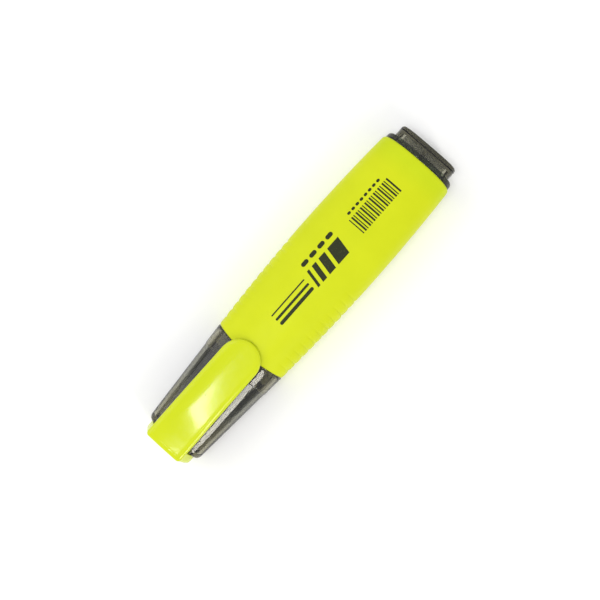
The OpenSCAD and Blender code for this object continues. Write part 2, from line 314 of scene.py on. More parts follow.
def run_along(nodes, links, tints):
    """Colour that runs along the pen through (x, colour) stops."""
    place = nodes.new("ShaderNodeSeparateXYZ")
    links.new(nodes.new("ShaderNodeTexCoord").outputs["Object"], place.inputs["Vector"])
    first, last = tints[0][0], tints[-1][0]
    along = nodes.new("ShaderNodeMapRange")
    along.inputs["From Min"].default_value = first * MM
    along.inputs["From Max"].default_value = last * MM
    links.new(place.outputs["X"], along.inputs["Value"])
    run = nodes.new("ShaderNodeValToRGB")
    stops = run.color_ramp.elements
    while len(stops) < len(tints):
        stops.new(0.5)
    for k, (x, tint) in enumerate(tints):
        stops[k].position = (x - first) / (last - first)
        stops[k].color = (*tint, 1)
    links.new(along.outputs["Result"], run.inputs["Fac"])
    return run.outputs["Color"]


def multiplied(nodes, links, one, other):
    """Product of two colours."""
    mix = nodes.new("ShaderNodeMix")
    mix.data_type = "RGBA"
    mix.blend_type = "MULTIPLY"
    mix.inputs["Factor"].default_value = 1.0
    links.new(one, mix.inputs["A"])
    links.new(other, mix.inputs["B"])
    return mix.outputs["Result"]


def plastic(name, low, high, roughness, grain, grain_depth, gloss=0.5, scatter=0.0, painted_falloff=None):
    """Moulded plastic: slightly uneven colour, uneven gloss, and a fine grain over slow moulding waves. An
    optional run of tint along the pen multiplies the colour, as painted shade.
    """
    material, nodes, links, shader = new_material(name)
    slow = noise(nodes, links, scale=90, detail=3)
    # Painted shade: the colour is multiplied by a tint that runs along the pen.
    colour = ramp(nodes, links, slow, low, high)
    if painted_falloff:
        start, end, tint = painted_falloff
        run = run_along(nodes, links, [(start, (1, 1, 1)), (end, tint)])
        colour = multiplied(nodes, links, colour, run)
    links.new(colour, shader.inputs["Base Color"])
    fine = noise(nodes, links, scale=2600, detail=5)
    rough = ramp(nodes, links, noise(nodes, links, scale=700, detail=6), *roughness)
    links.new(rough, shader.inputs["Roughness"])
    swell = noise(nodes, links, scale=160, detail=2)
    waves = bump(nodes, links, swell, 0.25, 0.04 * MM, shader)
    bump(nodes, links, fine, grain, grain_depth, shader, under=waves)
    shader.inputs["IOR"].default_value = 1.5
    shader.inputs["Specular IOR Level"].default_value = gloss
    if scatter:
        shader.inputs["Subsurface Weight"].default_value = scatter
        shader.inputs["Subsurface Radius"].default_value = (0.9, 1.0, 0.15)
        shader.inputs["Subsurface Scale"].default_value = 1.5 * MM
    return material


SMOKE_DEPTH_TINT = (0.52, 0.5, 0.38, 1)


def smoke(name, tints, roughness, density):
    """Clear grey-brown plastic that darkens with depth. tints are (x, colour) stops along the pen; on the
    cap and the tail plug they carry painted light and painted shade.
    """
    material, nodes, links, shader = new_material(name)
    uneven = ramp(nodes, links, noise(nodes, links, scale=120, detail=3), 0.93, 1.0)
    colour = multiplied(nodes, links, run_along(nodes, links, tints), uneven)
    links.new(colour, shader.inputs["Base Color"])
    rough = ramp(nodes, links, noise(nodes, links, scale=300, detail=3), *roughness)
    links.new(rough, shader.inputs["Roughness"])
    shader.inputs["Transmission Weight"].default_value = 1.0
    shader.inputs["IOR"].default_value = 1.49
    bump(nodes, links, noise(nodes, links, scale=150, detail=2), 0.12, 0.02 * MM, shader)
    absorb = nodes.new("ShaderNodeVolumeAbsorption")
    absorb.inputs["Color"].default_value = SMOKE_DEPTH_TINT
    absorb.inputs["Density"].default_value = density
    links.new(absorb.outputs["Volume"], nodes["Material Output"].inputs["Volume"])
    return material


def felt(name, low, high, along):
    """Pressed or bundled fibres that run along the pen."""
    material, nodes, links, shader = new_material(name)
    fibres = noise(nodes, links, scale=900, detail=8, stretch=(along, 1, 1))
    links.new(ramp(nodes, links, fibres, low, high), shader.inputs["Base Color"])
    shader.inputs["Sheen Weight"].default_value = 0.35
    links.new(ramp(nodes, links, fibres, 0.7, 0.95), shader.inputs["Roughness"])
    bump(nodes, links, fibres, 0.8, 0.12 * MM, shader)
    return material


def ink(name):
    """Dark pad-printed ink: matt, with pinholes where it missed."""
    material, nodes, links, shader = new_material(name)
    worn = noise(nodes, links, scale=4200, detail=3)
    thin, full = (0.1, 0.12, 0.015, 1), (0.022, 0.028, 0.008, 1)
    links.new(ramp(nodes, links, worn, thin, full, stops=(0.26, 0.38)), shader.inputs["Base Color"])
    rough = ramp(nodes, links, noise(nodes, links, scale=1500, detail=4), 0.4, 0.65)
    links.new(rough, shader.inputs["Roughness"])
    shader.inputs["Specular IOR Level"].default_value = 0.2
    bump(nodes, links, worn, 0.3, 0.01 * MM, shader)
    return material


def film(name):
    """Thin clear wrap round the fibre bundle, with lengthwise creases."""
    material, nodes, links, shader = new_material(name)
    creases = noise(nodes, links, scale=500, detail=4, stretch=(0.1, 1, 1))
    colour = ramp(nodes, links, creases, (0.8, 0.84, 0.7, 1), (0.95, 0.97, 0.9, 1))
    links.new(colour, shader.inputs["Base Color"])
    links.new(ramp(nodes, links, creases, 0.12, 0.3), shader.inputs["Roughness"])
    shader.inputs["Transmission Weight"].default_value = 0.8
    shader.inputs["IOR"].default_value = 1.45
    bump(nodes, links, creases, 0.4, 0.05 * MM, shader)
    return material


body_yellow = plastic(
    "body_yellow",
    low=(0.6, 0.67, 0.004, 1),
    high=(0.635, 0.705, 0.006, 1),
    roughness=(0.4, 0.5),
    grain=0.35,
    grain_depth=0.03 * MM,
    gloss=0.2,
    scatter=0.1,
    # Painted shade: the barrel turns darker and greener over its last 8 mm towards the tail, where the light
    # falls off.
    painted_falloff=(X_REAR - 8, X_REAR - 3, (0.91, 0.97, 1.1)),
)
clip_yellow = plastic(
    "clip_yellow",
    low=(0.58, 0.665, 0.004, 1),
    high=(0.615, 0.695, 0.006, 1),
    roughness=(0.09, 0.14),
    grain=0.05,
    grain_depth=0.01 * MM,
    gloss=0.35,
    scatter=0.08,
)
# Runs of tint along the pen. The cap's colour is painted lighter at its closed end and at the thin band by
# its mouth, as painted light.
CAP_TINTS = [
    (X_CAP, (0.72, 0.71, 0.6)),
    (X_CAP + 2.5, (0.47, 0.46, 0.37)),
    (X_CAP + 9, (0.41, 0.4, 0.315)),
    (X_MOUTH - 17, (0.38, 0.385, 0.355)),
    (X_MOUTH - 6.95, (0.38, 0.385, 0.355)),
    (X_MOUTH - 6.85, (0.49, 0.48, 0.39)),
    (X_MOUTH, (0.49, 0.48, 0.39)),
]
# Painted shade: the tail plug's colour is near black over its flange. Painted highlight: it turns lighter
# over the last 1.2 mm, at the boss's outer end edge.
TAIL_TINTS = [
    (X_REAR, (0.13, 0.165, 0.11)),
    (X_REAR + 1.75, (0.13, 0.165, 0.11)),
    (X_REAR + 2.05, (0.535, 0.535, 0.475)),
    (X_TAIL - 1.2, (0.535, 0.535, 0.485)),
    (X_TAIL, (0.82, 0.82, 0.75)),
]
CUP_TINTS = [(X_CAP, (0.44, 0.45, 0.42)), (X_MOUTH, (0.34, 0.35, 0.33))]
HOLDER_TINTS = [(X_CAP, (0.66, 0.66, 0.58)), (X_MOUTH, (0.66, 0.66, 0.58))]
cap_smoke = smoke("cap_smoke", CAP_TINTS, roughness=(0.04, 0.09), density=300.0)
inner_smoke = smoke("inner_smoke", CUP_TINTS, roughness=(0.08, 0.16), density=230.0)
holder_smoke = smoke("holder_smoke", HOLDER_TINTS, roughness=(0.08, 0.16), density=170.0)
tail_smoke = smoke("tail_smoke", TAIL_TINTS, roughness=(0.05, 0.1), density=270.0)
nib_felt = felt("nib_felt", (0.5, 0.56, 0.02, 1), (0.72, 0.78, 0.06, 1), along=0.15)
fibre_bundle = felt("fibre_bundle", (0.45, 0.5, 0.02, 1), (0.7, 0.75, 0.1, 1), along=0.04)
print_ink = ink("print_ink")
reservoir_wrap = film("reservoir_wrap")


# ---------------------------------------------------------------- barrel

BARREL_SIDES = 160
BARREL_ROWS = 330
FRONT_R = 0.3
REAR_R = 0.8
GROOVES = 11  # finger grooves on each edge, from GROOVE_X towards the tail
GROOVE_PITCH = 2.82
GROOVE_X = -18.2
GROOVE_DEPTH = 0.28
GROOVE_FADE = (0.7, 0.93)  # shares of the half width between which a groove comes in
MOUTH_BOW = 1.4  # how far the seam bows towards the nib
BOW_FLAT = 1
BOW_FADE = 5
SOCKET_A = 10.5  # the mouth, which holds the nib holder
SOCKET_B = 6.1
SOCKET_LEN = 8.8
SNAP_BACK = 3.3  # the tail plug's snap ring: distance in from the barrel's end, and half its length
SNAP_HALF = 1.2
SNAP_FLAT = 0.6
SNAP_DEEP = 0.25
FIBRE_X = (-11, 42)  # thin ribs inside that centre the fibre bundle
FIBRE_A = 8.8
FIBRE_B = 5.5
FIBRE_RIB_Y = 4.5
FIBRE_RIB_HALF = 0.5


def edge_stations(x, a, b, n, radius, way, steps=7):
    """Stations that round an end edge; way is 1 where the body lies towards +X."""
    out = []
    for q in np.linspace(0, math.pi / 2, steps):
        inset = radius * (1 - math.sin(q))
        out.append((x + way * radius * (1 - math.cos(q)), a - inset, b - inset, n))
    return out


def mouth_shift(x, y):
    """The seam bows towards the nib in the middle, and the bow dies away from it."""
    near = 1 - smooth((abs(x - X_MOUTH) - BOW_FLAT) / BOW_FADE)
    return -MOUTH_BOW * (1 - (y / barrel_a(X_MOUTH)) ** 2) * near


def groove_shrink(x, y):
    """How much a point of the barrel's outside is drawn in by the finger grooves, as a factor."""
    off = (x - GROOVE_X) / GROOVE_PITCH
    off = abs(off - round(off)) * 2
    notch = (1 - off) ** 3
    share = abs(y) / barrel_a(x)
    fade = smooth((share - GROOVE_FADE[0]) / (GROOVE_FADE[1] - GROOVE_FADE[0]))
    return 1 - GROOVE_DEPTH * notch * fade / barrel_a(x)


def add_fibre_ribs(piece, cavity_a, cavity_b):
    """Thin ribs from the barrel's wall to the fibre bundle: two above, two below and one at each side."""
    start, end = FIBRE_X
    half = FIBRE_RIB_HALF
    for side in (-1, 1):
        for y in (-FIBRE_RIB_Y, FIBRE_RIB_Y):
            low_z, high_z = sorted((side * FIBRE_B, side * (cavity_b + 0.3)))
            rib = block((start, y - half, low_z), (end, y + half, high_z))
            combine(piece, make("rib", rib), "UNION")
        low_y, high_y = sorted((side * FIBRE_A, side * (cavity_a + 0.5)))
        rib = block((start, low_y, -half), (end, high_y, half))
        combine(piece, make("rib", rib), "UNION")


def build_barrel():
    rows = np.linspace(X_FRONT + FRONT_R + 0.1, X_REAR - REAR_R - 0.1, BARREL_ROWS)
    outside = edge_stations(X_FRONT, barrel_a(X_FRONT), barrel_b(X_FRONT), BODY_N, FRONT_R, 1)
    outside += [(x, barrel_a(x), barrel_b(x), BODY_N) for x in rows]
    outside += edge_stations(X_REAR, barrel_a(X_REAR), barrel_b(X_REAR), BODY_N, REAR_R, -1)[::-1]
    cavity_a, cavity_b = barrel_a(X_REAR) - BARREL_WALL, barrel_b(X_REAR) - BARREL_WALL
    inside = [(X_REAR, cavity_a, cavity_b, BODY_N)]
    for off, deep in ((SNAP_HALF, 0), (SNAP_FLAT, SNAP_DEEP), (-SNAP_FLAT, SNAP_DEEP), (-SNAP_HALF, 0)):
        inside.append((X_REAR - SNAP_BACK + off, cavity_a + deep, cavity_b + deep, BODY_N))
    inside += [
        (X_FRONT + SOCKET_LEN + 1, cavity_a, cavity_b, BODY_N),
        (X_FRONT + SOCKET_LEN, SOCKET_A, SOCKET_B, BODY_N),
        (X_FRONT, SOCKET_A, SOCKET_B, BODY_N),
    ]
    verts, faces = loft(outside + inside, sides=BARREL_SIDES, looped=True, bow=mouth_shift)
    grip_low = GROOVE_X - GROOVE_PITCH / 2
    grip_high = GROOVE_X + (GROOVES - 0.5) * GROOVE_PITCH
    for i, (x, y, z) in enumerate(verts[: len(outside) * BARREL_SIDES]):
        if grip_low < x < grip_high:
            shrink = groove_shrink(x, y)
            verts[i] = (x, y * shrink, z * shrink)
    piece = make("barrel_body", (verts, faces), body_yellow)
    add_fibre_ribs(piece, cavity_a, cavity_b)
    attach(piece, "pen")
    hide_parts("barrel")


# ---------------------------------------------------------------- nib end

NECK_FRONT = X_MOUTH - 6.5  # end of the neck that the cap's cup seals on
NECK_A = 9.0
NECK_B = 4.7
NECK_LEN = 3.0
NECK_WALL_A = 1.2
NECK_WALL_B = 1.0
SKIRT_A = 10.45  # the part pressed into the barrel
SKIRT_B = 6.05
TIP_X = holder_low.x
SLOT_A = 2.7  # the slot that holds the nib
SLOT_B = 1.7
AIR_SLOT_Y = (2.3, 3.2)
AIR_SLOT_LEN = 4.5
AIR_SLOT_HALF = 0.4


def build_nib_holder():
    """Cone, neck, click ring and skirt outside; the slot for the nib and the bore behind it inside."""
    skirt_x = holder_high.x
    bore_a, bore_b = NECK_A - NECK_WALL_A, NECK_B - NECK_WALL_B
    outside = [
        (TIP_X, 3.9, 2.75, BODY_N),
        (TIP_X + 0.5, 4.4, 3.15, BODY_N, 0.25),
        (NECK_FRONT - NECK_LEN, NECK_A, NECK_B, BODY_N, 0.8),
        (NECK_FRONT, NECK_A, NECK_B, BODY_N, 0.15),
        (NECK_FRONT, 9.7, 5.45, BODY_N, 0.12),
        (NECK_FRONT + 0.4, 10, 5.75, BODY_N, 0.15),
        (X_MOUTH - 3.2, 10.14, 5.87, BODY_N, 0.15),
        (X_MOUTH - 2.8, 10.3, 6, BODY_N, 0.2),
        (X_MOUTH - 2.4, 10.18, 5.9, BODY_N, 0.15),
        (X_FRONT + 0.5, 10.3, 6, BODY_N),
        (X_FRONT + 0.5, SKIRT_A, SKIRT_B, BODY_N),
        (skirt_x, SKIRT_A, SKIRT_B, BODY_N),
    ]
    inside = [
        (skirt_x, 9.3, 4.9, BODY_N),
        (NECK_FRONT + 1.6, 8.8, 4.6, BODY_N, 0.4),
        (NECK_FRONT + 0.6, bore_a, bore_b, BODY_N, 0.4),
        (NECK_FRONT - NECK_LEN, bore_a, bore_b, BODY_N, 0.6),
        (NECK_FRONT - NECK_LEN - 4, 4.6, 2.5, 3, 0.6),
        (TIP_X + 4, SLOT_A, SLOT_B, SLOT_N),
        (TIP_X, SLOT_A, SLOT_B, SLOT_N),
    ]
    stations = rounded(outside) + rounded(inside)
    holder = make("nib_holder_cone", loft(stations, sides=120, looped=True), holder_smoke)
    for side in (-1, 1):
        near, far = sorted(side * y for y in AIR_SLOT_Y)
        low = (TIP_X - 1, near, -AIR_SLOT_HALF)
        slot = make("air_slot", block(low, (TIP_X + AIR_SLOT_LEN, far, AIR_SLOT_HALF)))
        combine(holder, slot, "DIFFERENCE")
    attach(holder, "pen")
    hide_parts("nib_holder")


NIB_SLANT = 2.6
NIB_WEDGE = 6.0
NIB_EDGE = 0.42  # half the thickness of its writing edge
NIB_SHARES = [0, 0.04, 0.1, 0.18, 0.3, 0.5, 0.75, 1.0]
NIB_STEM = 3
NIB_STEM_HALF = 0.8
NIB_SOFT = 0.22


def build_nib():
    """Chisel nib: slanted in plan, wedge in side view, with softened felt edges."""
    half_w, half_t = (nib_high.y - nib_low.y) / 2, (nib_high.z - nib_low.z) / 2
    x0, x1 = nib_low.x, nib_high.x
    across = np.linspace(-1, 1, 13)
    sections = []
    for x in [x0 + NIB_WEDGE * share for share in NIB_SHARES] + [TIP_X + 1, x1 - NIB_STEM]:
        along = (x - x0) / NIB_WEDGE
        half_z = min(half_t, NIB_EDGE + (half_t - NIB_EDGE) * along)
        lean = NIB_SLANT * max(0.0, 1 - along)
        sections.append([(x + lean * (v + 1) / 2, v * half_w, half_z) for v in across])
    for x, half_y in ((x1 - NIB_STEM, half_w), (x1, NIB_STEM_HALF)):
        sections.append([(x, v * half_y, half_t) for v in across])
    verts = []
    for upper in sections:
        verts += upper + [(x, y, -z) for x, y, z in upper[::-1]]
    rows, count = len(sections), 2 * len(across)
    nib = make("felt_nib", (verts, bridges(rows, count) + end_faces(rows, count)), nib_felt, sharp=70)
    bevel = nib.modifiers.new("soft", "BEVEL")
    bevel.width = NIB_SOFT * MM
    bevel.segments = 3
    bevel.limit_method = "ANGLE"
    bevel.angle_limit = math.radians(35)
    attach(nib, "pen")
    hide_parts("chisel_nib")


# ---------------------------------------------------------------- tail plug

FLANGE_T = 1.7
FLANGE_IN = 0.5  # how far the flange stands inside the barrel's outline
BOSS_A = 10.25
BOSS_B = 5.6
BOSS_WALL_A = 2.1
BOSS_WALL_B = 1.05
TAIL_SKIRT_IN = 1.35
WEB_HALF = 0.45


def build_tail_plug():
    """Plug with a snap ring, a flange against the barrel's end, and a hollow boss with a web across it."""
    x_flange = X_REAR + FLANGE_T
    flange_a, flange_b = barrel_a(X_REAR) - FLANGE_IN, barrel_b(X_REAR) - FLANGE_IN
    skirt_a, skirt_b = barrel_a(X_REAR) - TAIL_SKIRT_IN, barrel_b(X_REAR) - TAIL_SKIRT_IN
    hollow_a, hollow_b = BOSS_A - BOSS_WALL_A, BOSS_B - BOSS_WALL_B
    x_in = tail_low.x
    inside = [
        (X_TAIL - 2.0, hollow_a, hollow_b, BOSS_N, 0.3),
        (x_flange - 0.3, hollow_a, hollow_b, BOSS_N, 0.3),
        (X_REAR - 0.4, skirt_a - 1.3, skirt_b - 1.3, BODY_N, 0.3),
        (x_in, skirt_a - 1.1, skirt_b - 1.1, BODY_N),
    ]
    outside = [
        (x_in, skirt_a - 0.3, skirt_b - 0.3, BODY_N, 0.2),
        (X_REAR - SNAP_BACK - SNAP_HALF, skirt_a, skirt_b, BODY_N, 0.3),
        (X_REAR - SNAP_BACK, skirt_a + 0.24, skirt_b + 0.24, BODY_N, 0.4),
        (X_REAR - SNAP_BACK + SNAP_HALF, skirt_a, skirt_b, BODY_N, 0.3),
        (X_REAR, skirt_a, skirt_b, BODY_N),
        (X_REAR, flange_a, flange_b, BODY_N, 0.12),
        (x_flange, flange_a, flange_b, BODY_N, 1.0),
        (x_flange, BOSS_A, BOSS_B, BOSS_N, 0.35),
        (X_TAIL, BOSS_A, BOSS_B, BOSS_N, 0.75),
        (X_TAIL, BOSS_A - 1.5, BOSS_B - 1.5, BOSS_N),
    ]
    plug = make("tail_boss_plug", loft(rounded(inside) + rounded(outside, 7), sides=144), tail_smoke)
    web_b = BOSS_B - 0.4
    web = block((x_in + 1, -WEB_HALF, -web_b), (X_TAIL - 1, WEB_HALF, web_b))
    combine(plug, make("boss_web", web), "UNION")
    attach(plug, "pen")
    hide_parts("tail_plug")


# ---------------------------------------------------------------- cap

COLLAR_X = X_MOUTH - 6.9  # where the band at the mouth begins
COLLAR_STEP = 0.12
BAND_WALL = CAP_WALL - 0.3
END_WALL = 1.5
END_HOLE_A = 6.8  # the opening that the yellow plug closes
END_HOLE_B = 3.7
CUP_A = 6.4  # the cup's narrow part
CUP_B = 3.8
CUP_WALL = 0.75
CUP_FLARE_X = X_CAP + 10
CUP_WIDE_X = X_MOUTH - 15.5
CUP_PLAY = 0.12


def cap_point(x, grow=0.0, radius=0.0):
    return (x, cap_a(x, grow), cap_b(x, grow), BODY_N, radius)


def build_cap_shell():
    outside = [
        (X_CAP, END_HOLE_A, END_HOLE_B, INNER_END_N),
        (X_CAP, cap_a(X_CAP), cap_b(X_CAP), BODY_N, 1.65),
        *[cap_point(x) for x in np.linspace(X_CAP + 4, COLLAR_X - 0.2, 14)],
        cap_point(COLLAR_X, 0, 0.05),
        cap_point(COLLAR_X + 0.12, COLLAR_STEP, 0.05),
        *[cap_point(x, COLLAR_STEP) for x in np.linspace(COLLAR_X + 0.5, X_MOUTH - 1, 6)],
        cap_point(X_MOUTH, COLLAR_STEP, 0.22),
        cap_point(X_MOUTH, 0.3 - BAND_WALL, 0.2),
    ]
    inside = [
        cap_point(X_MOUTH - 1, -BAND_WALL),
        cap_point(COLLAR_X, -BAND_WALL, 0.03),
        cap_point(COLLAR_X - 0.05, -CAP_WALL, 0.03),
        cap_point(X_CAP + END_WALL, -CAP_WALL, 0.5),
        (X_CAP + END_WALL, END_HOLE_A, END_HOLE_B, INNER_END_N),
    ]
    stations = rounded(outside, 7) + rounded(inside)
    shell = make("cap_tube", loft(stations, sides=160, looped=True, bow=mouth_shift), cap_smoke)
    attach(shell, "cap")
    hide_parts("cap_shell")


def cup_seat(x, play=CUP_PLAY):
    """Half width and half height of the cup where it lies against the inside of the cap's shell."""
    return cap_a(x) - CAP_WALL - play, cap_b(x) - CAP_WALL - play


def build_inner_cap():
    """Cup with its foot in the narrow end of the cap, flared out to the shell where it meets the neck."""
    x0, x1 = cup_low.x, cup_high.x
    lip_a, lip_b = NECK_A + 0.1, NECK_B + 0.1
    foot_a, foot_b = cup_seat(x0, 0.05)
    wide_a, wide_b = cup_seat(CUP_WIDE_X)
    outside = [
        (x0, foot_a - 0.4, foot_b - 0.4, BODY_N),
        (x0, foot_a, foot_b, BODY_N, 0.2),
        (x0 + 0.9, foot_a, foot_b, BODY_N, 0.15),
        (x0 + 0.9, CUP_A, CUP_B, BODY_N, 0.3),
        (CUP_FLARE_X, CUP_A, CUP_B, BODY_N, 1.5),
        (CUP_WIDE_X, wide_a, wide_b, BODY_N, 1.5),
        (x1, *cup_seat(x1), BODY_N, 0.15),
        (x1, lip_a + 0.2, lip_b + 0.2, BODY_N, 0.1),
    ]
    inside = [
        (x1 - 0.6, lip_a, lip_b, BODY_N, 0.1),
        (x1 - 2.6, lip_a, lip_b, BODY_N, 0.6),
        (CUP_WIDE_X, wide_a - CUP_WALL, wide_b - CUP_WALL, BODY_N, 1.5),
        (CUP_FLARE_X + CUP_WALL, CUP_A - CUP_WALL, CUP_B - CUP_WALL, BODY_N, 1.5),
        (x0 + 1.65, CUP_A - CUP_WALL, CUP_B - CUP_WALL, BODY_N, 0.8),
        (x0 + 1.65, 4, 2, BODY_N),
    ]
    cup = make("seal_cup", loft(rounded(outside) + rounded(inside), sides=128), inner_smoke)
    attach(cup, "cap")
    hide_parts("inner_cap")


# ---------------------------------------------------------------- clip moulding

CLIP_ROOT_W = 12.8
CLIP_TIP_X = clip_high.x
CLIP_TOP = clip_high.z - AXIS_Z
CLIP_T = 1.8
TIP_R = 6.25
ROOT_CORNER = 1.1
ROOT_DROP = 0.56  # how much lower the root's top is, and the length over which it rises
ARCH_LEN = 16.0
UNDER_START = 1.8  # the underside thins from here, by UNDER_DROP over UNDER_LEN
UNDER_LEN = 12
UNDER_DROP = 1.15
CROWN_R = 40.0
BORDER = 1.35  # width of the border round the crown, and how far its edge falls
BORDER_DROP = 0.3
CREASE = 0.02
CREASE_HALF = 0.12
EDGE_TOP_R = 0.5
EDGE_LOW_R = 0.3
CROWN_INSETS = (0.65, 0.85, 1.05, 1.2, 1.28, 1.35, 1.42, 1.5, 1.65, 1.9, 2.4, 3.2, 4.2, 5.2, 5.8)
UNDER_INSETS = (5.8, 4.2, 2.4, 1.0)
HEAD_A = 8.1
HEAD_B = 4.8
HEAD_N = 3.4
HEAD_R = 1.15
HEAD_SINK = 2.15
PLUG_A = 6.75  # the plug that fills the shell's opening
PLUG_B = 3.65
GATE = (-38.6, 0.5)  # the small pit that the moulding gate leaves
BEAD_X = X_MOUTH - 3  # the bead under the tip, which grips what the clip is pushed over
BEAD_HALF = 3
BEAD_ROWS = 13
BEAD_SIDES = 24
BEAD_LONG = 1.1
BEAD_DEEP = 0.5
BEAD_SUNK = 0.25

# Points on each stretch of half the clip's outline.
PER_ROOT = 14
PER_CORNER = 6
PER_SIDE = 70
PER_TIP = 48


def clip_outline(inset):
    """The clip's plan outline moved inwards, from the middle of the root round by +Y and back by -Y."""
    corner = max(0.05, ROOT_CORNER - 0.6 * inset)
    root_x = X_END + inset
    root_half = CLIP_ROOT_W / 2 - inset
    tip_r = TIP_R - inset
    tip_x = CLIP_TIP_X - TIP_R
    half = []
    for t in np.linspace(0, 1, PER_ROOT):
        half.append((root_x, (root_half - corner) * t))
    for q in np.linspace(0, math.pi / 2, PER_CORNER)[1:]:
        half.append((root_x + corner * (1 - math.cos(q)), root_half - corner * (1 - math.sin(q))))
    start = root_x + corner
    for t in np.linspace(0, 1, PER_SIDE)[1:]:
        half.append((start + (tip_x - start) * t, root_half + (tip_r - root_half) * t))
    for q in np.linspace(0, math.pi / 2, PER_TIP)[1:]:
        half.append((tip_x + tip_r * math.sin(q), tip_r * math.cos(q)))
    half[-1] = (half[-1][0], 0.0)
    other = [(x, -y) for x, y in half[-2:0:-1]]
    return half + other, len(half)


def clip_top(x, y):
    """Height of the clip's crown above the pen's axis: it arches along the clip and falls to both sides."""
    rise = smooth((x - X_END) / ARCH_LEN)
    return CLIP_TOP - ROOT_DROP * (1 - rise) - arc_drop(y, CROWN_R)


def clip_under(x):
    """Height of the clip's underside, which is lowest at the root."""
    rise = smooth((x - X_END - UNDER_START) / UNDER_LEN)
    return CLIP_TOP - CLIP_T - UNDER_DROP * (1 - rise)


def border_drop(inset):
    """How far the border has fallen below the crown, at a distance in from the edge."""
    t = min(1.0, inset / BORDER)
    crease = CREASE * math.exp(-(((inset - BORDER) / CREASE_HALF) ** 2))
    return BORDER_DROP * (1 - t) ** 1.5 + crease


def build_arm():
    """The sprung arm as nested outlines: up the side, over the rounded edge, and across the crown."""
    rings = [(inset, "under", 0.0) for inset in UNDER_INSETS]
    for q in np.linspace(0, math.pi / 2, 5):
        rings.append((EDGE_LOW_R * (1 - math.sin(q)), "under", EDGE_LOW_R * (1 - math.cos(q))))
    for q in np.linspace(0, math.pi / 2, 7):
        rings.append((EDGE_TOP_R * (1 - math.cos(q)), "top", EDGE_TOP_R * (1 - math.sin(q))))
    rings += [(inset, "top", 0.0) for inset in CROWN_INSETS]
    verts = []
    for inset, side, back in rings:
        outline, half = clip_outline(inset)
        for x, y in outline:
            if side == "under":
                z = clip_under(x) + back
            else:
                z = clip_top(x, y) - border_drop(inset) - back
            verts.append((x, y, z))
    count = len(outline)
    total = len(rings)
    faces = bridges(total, count)
    # One face closes the root's end of the first and the last ring. Strips across close the rest.
    root_end = PER_ROOT + PER_CORNER - 1
    for row in (0, total - 1):
        base = row * count
        faces.append(tuple(base + k % count for k in range(-root_end, root_end + 1)))
        for i in range(root_end, half - 1):
            a, b = base + i, base + i + 1
            c, d = base + (count - i - 1) % count, base + (count - i) % count
            quad = [v for k, v in enumerate((a, b, c, d)) if v not in (a, b, c, d)[:k]]
            if len(quad) >= 3:
                faces.append(tuple(quad))
    return make("clip_moulding", (verts, faces), clip_yellow, sharp=50)


def head_section(inset):
    """Outline (y, z) of the end plug's head, moved inwards. Its sides lean in towards the clip's root."""
    top = CLIP_TOP - HEAD_SINK
    root = CLIP_ROOT_W / 2 - 0.02
    side = []
    for z in np.linspace(0, top, 15)[1:]:
        lean = max(0.0, (z - 1) / (top - 1)) ** 1.25
        side.append((HEAD_A + (root - HEAD_A) * lean, z))
    across = [(y, top) for y in np.linspace(root, -root, 15)[1:-1]]
    below = [tuple(p) for p in oval(HEAD_A, HEAD_B, HEAD_N, 120) if p[1] <= 1e-6]
    below.sort(key=lambda p: p[0])
    outline = np.array(side + across + [(-y, z) for y, z in side[::-1]] + below)
    run = np.roll(outline, -1, axis=0) - np.roll(outline, 1, axis=0)
    inwards = np.stack([-run[:, 1], run[:, 0]], axis=1) / np.linalg.norm(run, axis=1)[:, None]
    inwards[outline[:, 1] > 1, 1] = 0
    on_top = outline[:, 1] > top - 0.01
    inwards[on_top, 0] = -outline[on_top, 0] / root
    return outline + inset * inwards


def build_head():
    """The end plug's head, rounded round its outer end and flush with the clip's root."""
    stations = []
    for q in np.linspace(0, math.pi / 2, 9):
        stations.append((X_END + 0.02 + HEAD_R * (1 - math.cos(q)), HEAD_R * (1 - math.sin(q))))
    stations += [(X_CAP - 0.25, 0.0), (X_CAP, 0.15)]
    verts = []
    for x, inset in stations:
        verts += [(x, y, z) for y, z in head_section(inset)]
    rows, count = len(stations), len(verts) // len(stations)
    return make("head", (verts, bridges(rows, count) + end_faces(rows, count)))


def build_gate_pit():
    pit, faces = loft([(-0.3, 0.2, 0.2, 2), (1, 0.28, 0.28, 2)], sides=20)
    return make("gate_pit", ([(GATE[0] + y, GATE[1] + z, CLIP_TOP + x) for x, y, z in pit], faces))


def build_bead():
    verts = []
    for y in np.linspace(-BEAD_HALF, BEAD_HALF, BEAD_ROWS):
        swell = math.sqrt(max(0.0, 1 - (y / (BEAD_HALF + 0.02)) ** 4))
        for q in np.linspace(0, 2 * math.pi, BEAD_SIDES, endpoint=False):
            x = BEAD_X + BEAD_LONG * swell * math.cos(q)
            z = CLIP_TOP - CLIP_T + BEAD_SUNK + BEAD_DEEP * swell * math.sin(q)
            verts.append((x, y, z))
    faces = bridges(BEAD_ROWS, BEAD_SIDES) + end_faces(BEAD_ROWS, BEAD_SIDES)
    return make("bead", (verts, faces))


def build_clip():
    """One yellow moulding: the arm, the head, the plug in the shell's opening and the bead."""
    clip = build_arm()
    combine(clip, build_head(), "UNION")
    plug_ends = [(x, PLUG_A, PLUG_B, INNER_END_N) for x in (X_CAP - 0.4, X_CAP + END_WALL)]
    combine(clip, make("neck", loft(plug_ends, sides=96)), "UNION")
    combine(clip, build_gate_pit(), "DIFFERENCE")
    combine(clip, build_bead(), "UNION")
    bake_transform(clip)
    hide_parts("cap_end_plug", "clip_arm")


# ---------------------------------------------------------------- print on the barrel

